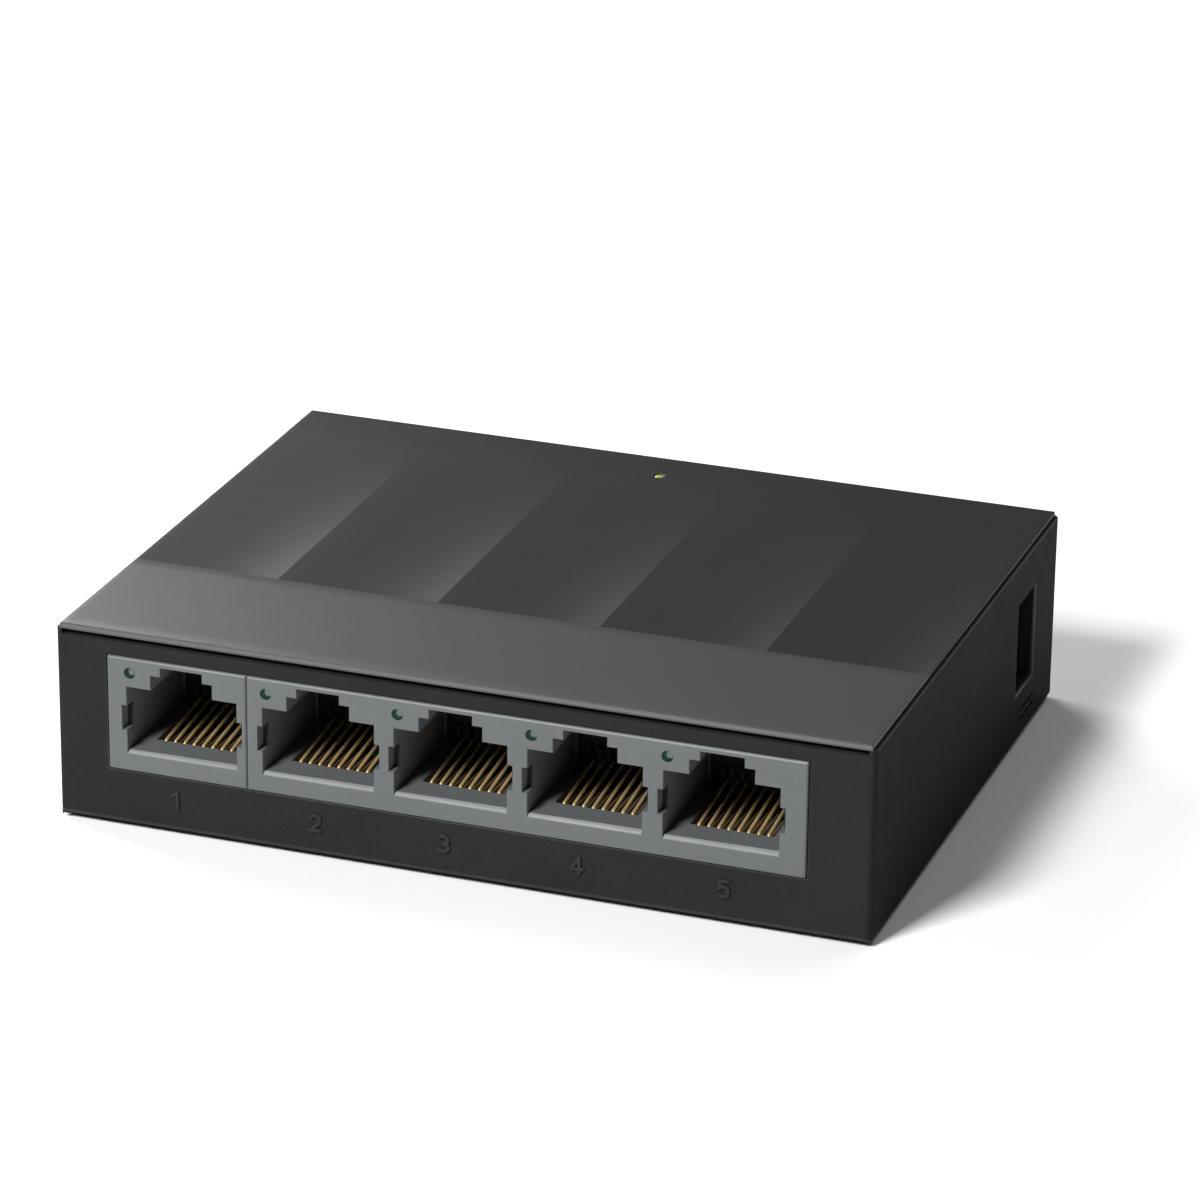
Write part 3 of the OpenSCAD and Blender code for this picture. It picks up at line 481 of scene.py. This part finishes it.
def build_top_cover():
    side_r, front_r = 0.16, 0.36
    side = arc_pairs(side_r, 4)
    # columns: (x, panel or None, u, drop at the side edge)
    cols = [(-LID_X + ins, 0, 0.0, drop) for ins, drop in reversed(side)]
    for i in range(5):
        a, b = CREASES[i], CREASES[i + 1]
        a2 = a + side_r if i == 0 else a
        b2 = b - side_r if i == 4 else b
        n = 28
        xs = [a2 + (b2 - a2) * k / n for k in range(1 if i else 0, n + 1)]
        cols += [(x, i, (x - a) / (b - a), 0.0) for x in xs]
    cols += [(LID_X - ins, 4, 1.0, drop) for ins, drop in side]
    # rows: (y, v or None, part of the band's rear edge, drop at the front or back edge)
    front = [(0.325, 0.006), (0.29, 0.03), (0.25, 0.066), (0.06, 0.256), (0.024, 0.3), (0.006, 0.335), (0.0, 0.37)]
    rows = [(LID_Y0 + ins, None, 0.0, drop) for ins, drop in reversed(front)]
    y0, y1 = LID_Y0 + front_r, BAND_Y - 0.05
    rows += [(y0 + (y1 - y0) * k / 10, None, 0.0, 0.0) for k in range(11)]
    for k in (1, 2, 3):
        a = math.pi / 2 * k / 3
        rows.append((y1 + 0.05 * math.sin(a), None, 0.05 * (1 - math.cos(a)), 0.0))
    n = 60
    y0 = BAND_Y + 0.01
    rows += [(y0 + (FOLD_Y - y0) * k / n, k / n, 0.0, 0.0) for k in range(n + 1)]
    y0, y1 = FOLD_Y, LID_Y1 - side_r
    rows += [(y0 + (y1 - y0) * k / 6, None, 0.0, 0.0) for k in range(1, 7)]
    rows += [(LID_Y1 - ins, None, 0.0, drop) for ins, drop in side]

    def surface(col, row):
        x, i, u, drop_x = col
        y, v, step, drop_y = row
        d = 0.0
        if v is not None:
            d = fold_depth(u, v) * smooth((FOLD_Y - y) / 0.9)
        elif step:
            d = min(step, fold_depth(u, 0.0) * 0.8)
        edge = max(drop_x, drop_y) if min(drop_x, drop_y) == 0 else min(front_r, math.hypot(drop_x, drop_y))
        return Z_TOP - d - edge

    bm = bmesh.new()
    grid = [[bm.verts.new(Vector((c[0], r[0], surface(c, r))) * MM) for c in cols] for r in rows]
    nr, nc = len(rows), len(cols)
    for j in range(nr - 1):
        for k in range(nc - 1):
            f = bm.faces.new([grid[j][k], grid[j][k + 1], grid[j + 1][k + 1], grid[j + 1][k]])
            # the rounded front edge takes the lighter edge copy (painted highlight), the band the lighter band copy
            # (painted sheen)
            f.material_index = 2 if rows[j + 1][0] <= LID_Y0 + front_r else 1 if rows[j + 1][0] <= BAND_Y + 0.001 else 0
    ring = [grid[0][k] for k in range(nc)] + [grid[j][nc - 1] for j in range(1, nr)]
    ring += [grid[nr - 1][k] for k in range(nc - 2, -1, -1)] + [grid[j][0] for j in range(nr - 2, 0, -1)]
    low = [bm.verts.new((v.co.x, v.co.y, Z_LID * MM)) for v in ring]
    for k in range(len(ring)):
        j = (k + 1) % len(ring)
        f = bm.faces.new([ring[j], ring[k], low[k], low[j]])
        f.material_index = 1 if max(ring[k].co.y, ring[j].co.y) <= (BAND_Y + 0.001) * MM else 0
    bm.faces.new(low)
    bmesh.ops.dissolve_degenerate(bm, edges=bm.edges, dist=0.0005 * MM)
    ob = new_object("cover_shell", outward(bm))
    ob.data.materials.append(MAT["lid_fold"])
    ob.data.materials.append(MAT["lid_band_painted_sheen"])
    ob.data.materials.append(MAT["lid_edge_painted_highlight"])
    # thin lip over the front wall, and what the underside carries
    for lo, hi in (((-50, -40, 18), (50, -31.3, Z_LIP)), ((-50, -32, 18), (-SEAT_X, 40, Z_LIP)), ((SEAT_X, -32, 18), (50, 40, Z_LIP)), ((-50, SEAT_Y, 18), (50, 40, Z_LIP))):
        one = bmesh.new()
        block(one, lo, hi)
        carve(ob, one)
    add = bmesh.new()
    for x in PORT_X:
        block(add, (x + 4.8, -28.3, 18.8), (x + 5.8, -21.3, Z_LID + 0.2), 0.08)
    for s in (-1, 1):
        block(add, (s * 39.1 - 0.5, -1, 6.55), (s * 39.1 + 0.5, 6, Z_LID + 0.2), 0.1)
        for y in (-6, 12):
            pts = [(s * 39.15, Z_LID + 0.1), (s * 40.4, Z_LID + 0.1), (s * 40.4, 14.9), (s * 41.0, 14.7), (s * 41.0, 14.1), (s * 40.25, 13.1), (s * 39.55, 13.1)]
            prism(add, pts, "y", y - 3, y + 3)
    tube(add, (0, 27.6), "z", 2.2, 15.55, Z_LID + 0.2, 40)
    carve(ob, add, "UNION")
    hole = bmesh.new()
    tube(hole, (0, 27.6), "z", 1.1, 14.5, 20.5, 32)
    carve(ob, hole)
    hole = bmesh.new()
    tube(hole, (0, 27.6), "z", 0.5, 19.5, 21.16, 32)
    tube(hole, (0, 27.6), "z", 0.5, 21.16, 21.45, 32, r2=0.82)
    carve(ob, hole)
    return ob


PORT_X = [-29.1, -14.46, -0.49, 13.48, 27.45]
PORT_STEP = 1.02

# ---------------------------------------------------------------- the materials

MAT = {
    "lid_fold": plastic("lid_fold", (0.0085, 0.0085, 0.0087), 0.44, 0.16, 0.12, 0.006, 0.5, 0.04, 0.02),
    # band behind the front edge: a lighter copy of the lid plastic, painted sheen
    "lid_band_painted_sheen": plastic("lid_band_painted_sheen", (0.02698, 0.02698, 0.02741), 0.42, 0.2, 0.2, 0.008, 1.0, 0.03, 0.02),
    # front rounded edge of the lid: a lighter copy of the lid plastic, a painted highlight line
    "lid_edge_painted_highlight": plastic("lid_edge_painted_highlight", (0.0345, 0.0345, 0.03507), 0.5, 0.2, 0.15, 0.008, 0.4, 0.03, 0.02),
    "case": plastic("case", (0.0186, 0.0186, 0.0192), 0.6, 0.2, 0.35, 0.012, 0.03, 0.08, 0.04, ior=1.35),
    # raised numerals: a lighter copy of the case plastic, painted light where they catch the lamp
    "numeral_painted_light": plastic("numeral_painted_light", (0.0222, 0.0222, 0.0228), 0.5, 0.2, 0.2, 0.01, 0.12, 0.1),
    # rounded edge strips of the case: a lighter, glossier copy of the case plastic, painted edge highlights
    "case_edge_painted_highlight": plastic("case_edge_painted_highlight", (0.0242, 0.0242, 0.02475), 0.45, 0.3, 0.15, 0.008, 0.18, 0.15),
    "jack": plastic("jack", (0.09088, 0.09664, 0.09856), 0.42, 0.35, 0.12, 0.006, 0.4, 0.05),
    # inner side walls of the ports: a lighter copy of the jack plastic, painted light
    "jack_wall_painted_light": plastic("jack_wall_painted_light", (0.1313, 0.1375, 0.145), 0.6, 0.25, 0.1, 0.006, 0.2, 0.08),
    # rear walls of the port notches: a near-black copy of the jack plastic, painted shade
    "jack_notch_painted_shade": plastic("jack_notch_painted_shade", (0.0192, 0.0204, 0.0216), 0.7, 0.25, 0.1, 0.006, 0.1, 0.1),
    # rounded edges of the jack housings: a slightly lighter copy of the jack plastic, painted edge highlight
    "jack_edge_painted_highlight": plastic("jack_edge_painted_highlight", (0.0989, 0.1046, 0.1069), 0.45, 0.4, 0.08, 0.004, 0.25, 0.08),
    "carrier": plastic("carrier", (0.012, 0.012, 0.013), 0.5, 0.3, 0.2, 0.008, 0.3, 0.1),
    "rubber": plastic("rubber", (0.016, 0.016, 0.017), 0.75, 0.35, 0.5, 0.02, 0.2, 0.15, dust=0.05),
    "plate": plastic("plate", (0.5, 0.51, 0.52), 0.35, 0.6, 0.1, 0.005, 0.4, 0.04),
    # rounded edges of the power inlet: a lighter, glossier copy of the inlet plastic, painted edge highlight
    "inlet_edge_painted_highlight": plastic("inlet_edge_painted_highlight", (0.024, 0.024, 0.025), 0.32, 0.3, 0.1, 0.005, 0.45, 0.1),
    "inlet": plastic("inlet", (0.014, 0.014, 0.015), 0.4, 0.3, 0.15, 0.006, 0.4, 0.1),
    "gold": metal("gold", (0.83, 0.62, 0.3), 0.26, 0.12, 0.1, (1, 0.12, 1), (0.42, 0.27, 0.1), 0.35),
    # the fixed wires beyond their front bend: a darker copy of the wire metal, painted shade deep in the port
    "wire_painted_shade": metal("wire_painted_shade", (0.2, 0.135, 0.06), 0.5, 0.8, 0.04, (1, 0.2, 1), (0.12, 0.08, 0.04), 0.3, body=0.45),
    "wire": metal("wire", (0.6944, 0.4928, 0.2352), 0.42, 0.8, 0.04, (1, 0.2, 1), (0.6, 0.42, 0.2), 0.2, body=0.45),
    "bronze": metal("bronze", (0.72, 0.5, 0.26), 0.3, 0.2, 0.12, (1, 0.15, 1), (0.3, 0.2, 0.1), 0.4),
    "tin": metal("tin", (0.72, 0.72, 0.71), 0.3, 0.2, 0.1, (1, 1, 0.3), (0.4, 0.38, 0.34), 0.3),
    "zinc": metal("zinc", (0.62, 0.63, 0.66), 0.32, 0.25, 0.12, (1, 1, 0.4), (0.5, 0.46, 0.36), 0.35),
    "can": metal("can", (0.74, 0.74, 0.75), 0.28, 0.3, 0.08, (1, 1, 0.1), (0.55, 0.55, 0.55), 0.2),
    "epoxy": plastic("epoxy", (0.02, 0.02, 0.022), 0.55, 0.2, 0.3, 0.01, 0.35, 0.12),
    "ferrite": plastic("ferrite", (0.04, 0.04, 0.043), 0.6, 0.15, 0.6, 0.02, 0.35, 0.2),
    "sleeve": glossy("sleeve", (0.012, 0.022, 0.09), 0.3, 0.12, 0.2),
    "disc": glossy("disc", (0.03, 0.1, 0.33), 0.3, 0.12, 0.4),
    "ceramic": glossy("ceramic", (0.3, 0.2, 0.11), 0.35, 0.15),
    "glaze": glossy("glaze", (0.02, 0.02, 0.023), 0.2, 0.2),
    "fuse": glossy("fuse", (0.66, 0.67, 0.66), 0.4, 0.05),
    "lamp": glossy("lamp", (0.7, 0.76, 0.55), 0.2, 0.06),
    "board": glossy("board", (0.012, 0.09, 0.045), 0.28, 0.15, 0.3, 0.5, 0.25),
}


def light_pipe_material(name, colour, glow, strength):
    m = Nodes(name)
    cloud = m.noise(0.6, 3, 0.6)
    m.set("Base Color", m.mix(m.ramp(cloud, [(0.3, 0.0), (0.7, 1.0)]), tuple(c * 0.8 for c in colour), colour))
    m.set("Roughness", m.maths("ADD", m.maths("MULTIPLY", cloud, 0.15), 0.12))
    m.set("IOR", 1.49)
    m.set("Transmission Weight", 0.35)
    m.set("Emission Color", m.mix(cloud, tuple(c * 0.85 for c in glow), glow))
    m.set("Emission Strength", strength)
    m.set("Normal", m.bump(cloud, 0.15, 0.01))
    return m.mat


MAT["pipe"] = light_pipe_material("pipe", (0.1125, 0.16, 0.135), (0.05, 0.3, 0.18), 0.0)
# dark crescent on each port pipe end: painted shade
MAT["pipe_painted_shade"] = plastic("pipe_painted_shade", (0.003, 0.024, 0.013), 0.5, 0.2, 0.1, 0.006, 0.1, 0.2)
MAT["power_pipe"] = light_pipe_material("power_pipe", (0.34, 0.42, 0.09), (0.45, 0.55, 0.08), 0.22)


def paint(ob, *names):
    while len(ob.data.materials) < len(names):
        ob.data.materials.append(None)
    for i, n in enumerate(names):
        ob.data.materials[i] = MAT[n]
    return ob


# ---------------------------------------------------------------- pieces


def case_weight(mid, e):
    x, y, z = mid
    if not e.is_convex:
        return 0.0
    if z < 0.9 and (abs(x) > 42.2 or abs(y) > 32.6):
        return 0.9
    if y < -33.0 and 2.0 < z < 5.6 and abs(x) < 40:
        return 0.0
    if y < -33.15:
        return 0.16
    if x > 42.4 and z < 4.2 and 19 < y < 27:
        return 0.12
    if x > 42.5 and 17.5 < y < 25.5 and 5.5 < z < 16.6:
        return 0.9
    if z > 19.8 and y < -31.0:
        return 0.0
    if z > 20.6:
        return 0.4
    return 0.35


def finish_piece(ob, node):
    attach(ob, frame["nodes"][node]["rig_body"])
    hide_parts(node)
    return ob


cover = build_top_cover()
shade(cover, 28)
sharp = cover.data.attributes.get("sharp_edge") or cover.data.attributes.new("sharp_edge", "BOOLEAN", "EDGE")
for e in cover.data.edges:
    p, q = (cover.data.vertices[i].co / MM for i in e.vertices)
    if p.z > Z_LIP and q.z > Z_LIP and BAND_Y < min(p.y, q.y) and max(p.y, q.y) < 23.5:
        if any(abs(p.x - c) < 0.002 and abs(q.x - c) < 0.002 for c in CREASES[1:-1]):
            sharp.data[e.index].value = True
finish_piece(cover, "top_cover")

case = soften("bottom_case", "case_shell", 0.3, 3, 28, case_weight)
for v in case.data.vertices:
    v.co.x = max(-42.75 * MM, min(42.75 * MM, v.co.x))
moulded_normals(case)
# the numerals' faces take the lighter numeral copy: painted light
for f in case.data.polygons:
    if f.center.y < -33.15 * MM and 2.0 * MM < f.center.z < 5.6 * MM:
        f.material_index = 2
# slot 1, the rounded strips, carries the painted edge highlight
paint(case, "case", "case_edge_painted_highlight", "numeral_painted_light")

def jack_weight(mid, e):
    if mid[1] > -32.6:
        return 0.0
    if mid[2] < 8.2 and abs(e.verts[0].co.z - e.verts[1].co.z) < 1e-5:
        return 0.5
    if any(math.hypot(mid[0] - (x - 5.55), mid[2] - 17.08) < 0.7 for x in PORT_X):
        return 0.25
    return 1.0 if abs(mid[0] + 22.1) > 0.2 else 0.6


def jack_seam(x, y, z):
    """The two housings stand almost in touch."""
    if abs(x + 22.15) < 0.01:
        x = -22.12
    elif abs(x + 22.05) < 0.01:
        x = -22.08
    return x, y, z


for node, name in (("jack_single_housing", "single_jack_shell"), ("jack_quad_housing", "quad_jack_shell")):
    ob = soften(node, name, 0.1, 2, 28, jack_weight, jack_seam)
    for f in ob.data.polygons:
        cx, cy, cz = f.center / MM
        # the ports' inner side walls take a lighter copy of the jack plastic: painted light
        if abs(f.normal.x) > 0.9 and -33.0 < cy < -19 and 7.4 < cz < 18:
            f.material_index = 2
        # the notches' rear walls take a near-black copy: painted shade
        elif f.normal.y < -0.9 and -32.0 < cy < -29.5:
            f.material_index = 3
    paint(ob, "jack", "jack_edge_painted_highlight", "jack_wall_painted_light", "jack_notch_painted_shade")

# the contact wires: fixed part with its front bend and tail, and the free springs
BEND_Y, BEND_Z, BEND_R, WIRE_R = -28.9, 8.12, 0.35, 0.18
for n, px in enumerate(PORT_X, 1):
    fixed, free = bmesh.new(), bmesh.new()
    for k in range(8):
        x = px + (k - 3.5) * PORT_STEP
        run = 6.2 if k % 2 == 0 else 8.74
        path = [(x, BEND_Y + BEND_R * math.cos(a), BEND_Z + BEND_R * math.sin(a)) for a in (math.radians(88 + 182 * j / 18) for j in range(19))]
        path += [(x, BEND_Y + t, BEND_Z - BEND_R) for t in (0.6, run / 2, run - 0.3)]
        path += [(x, BEND_Y + run - 0.25 + 0.25 * math.sin(a), BEND_Z - BEND_R - 0.25 + 0.25 * math.cos(a)) for a in (math.radians(15 * j) for j in range(1, 7))]
        path += [(x, BEND_Y + run, 5.0), (x, BEND_Y + run, 3.62)]
        made = sweep(fixed, path, WIRE_R, 16, (0.0, 0.17))
        # wire beyond the front bend takes the darker copy: painted shade
        for f in made:
            f.material_index = 1 if f.calc_center_median().y / MM > BEND_Y + 0.3 else 0
        d = Vector((0, math.cos(math.radians(7)), math.sin(math.radians(7))))
        q = Vector((x, BEND_Y + 0.01, BEND_Z + BEND_R + 0.004))
        sweep(free, [q + d * t for t in (0.0, 0.5, 2.0, 4.0, 6.0, 8.0, 8.56)], WIRE_R, 16, (0.0, 0.14))
    for bm, name, node, mat in ((fixed, f"port_{n}_fixed_wires", f"port_{n}_contacts", "wire_painted_shade"), (free, f"port_{n}_spring_wires", f"port_{n}_springs", "wire")):
        ob = shade(new_object(name, outward(bm)), 35)
        paint(ob, *(("wire", mat) if mat == "wire_painted_shade" else (mat,)))
        finish_piece(ob, node)

# the port light pipes end just inside the face; a dark crescent of painted shade sits at the lower left of each
bm = cad_bmesh("port_light_pipes")
for f in bm.faces:
    f.material_index = 0
pipe_x = [x - 5.55 for x in PORT_X]
for v in bm.verts:
    if v.co.y / MM < -32.9:
        v.co.y = -33.2 * MM
for cx in pipe_x:
    outer = [(0.54 * math.cos(a), 0.54 * math.sin(a)) for a in (math.radians(112 + 220 * j / 16) for j in range(17))]
    inner = [(0.22 + 0.36 * math.cos(a), 0.18 + 0.36 * math.sin(a)) for a in (math.radians(316 - 186 * j / 14) for j in range(15))]
    prism(bm, [(cx + p, 17.08 + q) for p, q in outer + inner], "y", -33.225, -33.195, 1)
bmesh.ops.recalc_face_normals(bm, faces=bm.faces)
pipes = shade(new_object("light_pipe_set", bm), 35)
paint(pipes, "pipe", "pipe_painted_shade")
finish_piece(pipes, "port_light_pipes")

# rubber feet, turned with two rings in the sole
bm = bmesh.new()
for x in (-36, 36):
    for y in (-26.5, 26.5):
        sole = [(0, 0.06), (0.8, 0.06), (1.05, 0.0), (1.45, 0.0), (1.6, 0.14), (1.9, 0.14), (2.05, 0.0), (2.55, 0.0), (2.7, 0.14), (3.0, 0.14), (3.15, 0.0), (3.5, 0.0)]
        edge = [(3.5 + 0.42 * math.sin(a), 0.42 - 0.42 * math.cos(a)) for a in (math.radians(15 * j) for j in range(1, 7))]
        lathe(bm, "z", (x, y), sole + edge + [(3.96, 0.62), (4.0, 0.72), (4.0, 1.2), (3.95, 1.25), (0, 1.25)], 56)
feet = shade(new_object("feet_set", outward(bm)), 35)
paint(feet, "rubber")
finish_piece(feet, "rubber_feet")

# power light pipe, turned, with a domed tip
bm = bmesh.new()
lathe(bm, "z", (0.0, 27.6), [(0, 7.3), (1.22, 7.3), (1.3, 7.38), (1.3, 8.05), (1.0, 8.45), (1.0, 20.36), (0.96, 20.4), (0.45, 20.4), (0.45, 21.2), (0.38, 21.25), (0.2, 21.285), (0, 21.3)], 40)
glow = shade(new_object("power_light_rod", outward(bm)), 30)
paint(glow, "power_pipe")
finish_piece(glow, "power_light_pipe")

# blank plate: rounded corners and a low rim around its field
bm = bmesh.new()
def rounded(hx, hy, r, n=6):
    pts = []
    for sx, sy, a0 in ((1, 1, 0), (-1, 1, 90), (-1, -1, 180), (1, -1, 270)):
        pts += [(sx * (hx - r) + r * math.cos(a), sy * (hy - r) + r * math.sin(a)) for a in (math.radians(a0 + 90 * j / n) for j in range(n + 1))]
    return pts
rings = [(22.0, 13.0, 0.8, 0.65), (22.0, 13.0, 0.8, 0.545), (21.96, 12.96, 0.78, 0.52), (21.3, 12.3, 0.5, 0.52), (21.24, 12.24, 0.45, 0.545)]
loops = [[bm.verts.new(Vector((x, y, z)) * MM) for x, y in rounded(hx, hy, r)] for hx, hy, r, z in rings]
for a, b in zip(loops, loops[1:]):
    for k in range(len(a)):
        j = (k + 1) % len(a)
        bm.faces.new([a[k], b[k], b[j], a[j]])
bm.faces.new(loops[0])
bm.faces.new(loops[-1])
plate = shade(new_object("blank_plate", outward(bm)), 30)
paint(plate, "plate")
finish_piece(plate, "rating_plate_blank")

# power inlet: body with softened edges, and a turned pin with a groove and a rounded tip
ob = soften("dc_jack_body", "inlet_body", 0.16, 3, 28)
paint(ob, "inlet", "inlet_edge_painted_highlight")
bm = bmesh.new()
tip = [(1.0 * math.cos(a), 39.2 + 1.0 * math.sin(a)) for a in (math.radians(12 * j) for j in range(0, 8))]
lathe(bm, "x", (21.5, 11.25), [(0, 27.9), (1.0, 27.9), (1.0, 33.4), (0.97, 33.5), (1.0, 33.6)] + tip[:-1] + [(0.1, 40.19), (0, 40.2)], 40)
pin = shade(new_object("inlet_pin", outward(bm)), 30)
paint(pin, "tin")
finish_piece(pin, "dc_jack_pin")
ob = soften("jack_contact_carriers", "carrier_set", 0.08, 2, 28)
paint(ob, "carrier", "carrier")

# what shows little or nothing keeps its CAD mesh and takes a finish
KEEP = {
    "jack_contact_carriers": "carrier", "rubber_feet": "rubber", "rating_plate_blank": "plate", "pcb": "board",
    "pcb_screws": "zinc", "dc_jack_body": "inlet", "dc_jack_pin": "tin", "dc_jack_spring": "bronze",
    "dc_jack_terminals": "tin", "port_light_pipes": "pipe", "power_light_pipe": "power_pipe", "port_leds": "lamp",
    "power_led": "lamp", "switch_chip": "epoxy", "switch_chip_leads": "tin", "transformer_modules": "epoxy",
    "transformer_leads": "tin", "crystal": "can", "power_inductor": "ferrite", "electrolytic_capacitors": "can",
    "electrolytic_sleeves": "sleeve", "regulator_chip": "epoxy", "regulator_leads": "tin", "memory_chip": "epoxy",
    "memory_leads": "tin", "surge_capacitor": "disc", "rectifier_diode": "epoxy", "input_fuse": "fuse",
    "ceramic_capacitors": "ceramic", "resistors": "glaze", "resistor_networks": "glaze",
}
for n in range(1, 6):
    KEEP[f"port_{n}_contacts"] = "wire"
    KEEP[f"port_{n}_springs"] = "wire"
for node, mat in KEEP.items():
    ob = frame["nodes"][node]
    for s in ob.material_slots:
        s.link = "OBJECT"
        s.material = MAT[mat]

# ---------------------------------------------------------------- stage, light and camera


def look(az, el, roll):
    a, e, r = map(math.radians, (az, el, roll))
    back = Vector((math.sin(a) * math.cos(e), -math.cos(a) * math.cos(e), math.sin(e)))
    right = (-back).cross(Vector((0, 0, 1))).normalized()
    up = right.cross(-back).normalized()
    r1 = right * math.cos(r) + up * math.sin(r)
    u1 = -right * math.sin(r) + up * math.cos(r)
    return Matrix((r1, u1, back)).transposed()


cam = bpy.data.cameras.new("view")
cam_ob = bpy.data.objects.new("view", cam)
bpy.context.scene.collection.objects.link(cam_ob)
cam.sensor_width = 36.0
cam.lens = 5397.4 / 1200 * 36.0
cam.clip_start, cam.clip_end = 0.01, 20
cam_ob.matrix_world = Matrix.Translation(Vector((172.76, -483.84, 227.32)) * MM) @ look(19.318, 22.218, 0.739).to_4x4()
bpy.context.scene.camera = cam_ob

floor_bm = bmesh.new()
bmesh.ops.create_grid(floor_bm, x_segments=2, y_segments=2, size=3.0)
floor = new_object("desk", floor_bm)
fm = Nodes("desk")
fm.set("Base Color", fm.mix(fm.noise(60.0, 2, 0.5), (0.8, 0.8, 0.8), (0.82, 0.82, 0.82)))
fm.set("Roughness", 0.9)
fm.set("Specular IOR Level", 0.1)
floor.data.materials.append(fm.mat)

world = bpy.data.worlds.new("studio")
bpy.context.scene.world = world
world.use_nodes = True
bg = world.node_tree.nodes["Background"]
bg.inputs["Color"].default_value = (1.0, 1.0, 1.0, 1)
bg.inputs["Strength"].default_value = 0.075


def softbox(name, az, el, dist, w, h, power, target=(0, 0, 0.01), colour=(1, 1, 1)):
    """A rectangular lamp; azimuth 0 is behind the camera's side (-Y), 90 is +X, 180 behind the object."""
    a, e = math.radians(az), math.radians(el)
    d = Vector((math.sin(a) * math.cos(e), -math.cos(a) * math.cos(e), math.sin(e)))
    li = bpy.data.lights.new(name, "AREA")
    li.shape = "RECTANGLE"
    li.size, li.size_y = w, h
    li.energy = power
    li.color = colour
    ob = bpy.data.objects.new(name, li)
    bpy.context.scene.collection.objects.link(ob)
    ob.location = Vector(target) + d * dist
    ob.rotation_mode = "QUATERNION"
    ob.rotation_quaternion = d.to_track_quat("Z", "Y")
    return ob


softbox("key", 339, 43, 1.0, 0.24, 0.3, 15.0)
softbox("rear", 237, 34, 0.64, 0.42, 0.115, 3.1)
softbox("fill", 150, 58, 1.0, 0.5, 0.5, 2.0)

scene = bpy.context.scene
scene.view_settings.view_transform = "Standard"
scene.view_settings.look = "None"
scene.view_settings.exposure = 0
scene.view_settings.gamma = 1
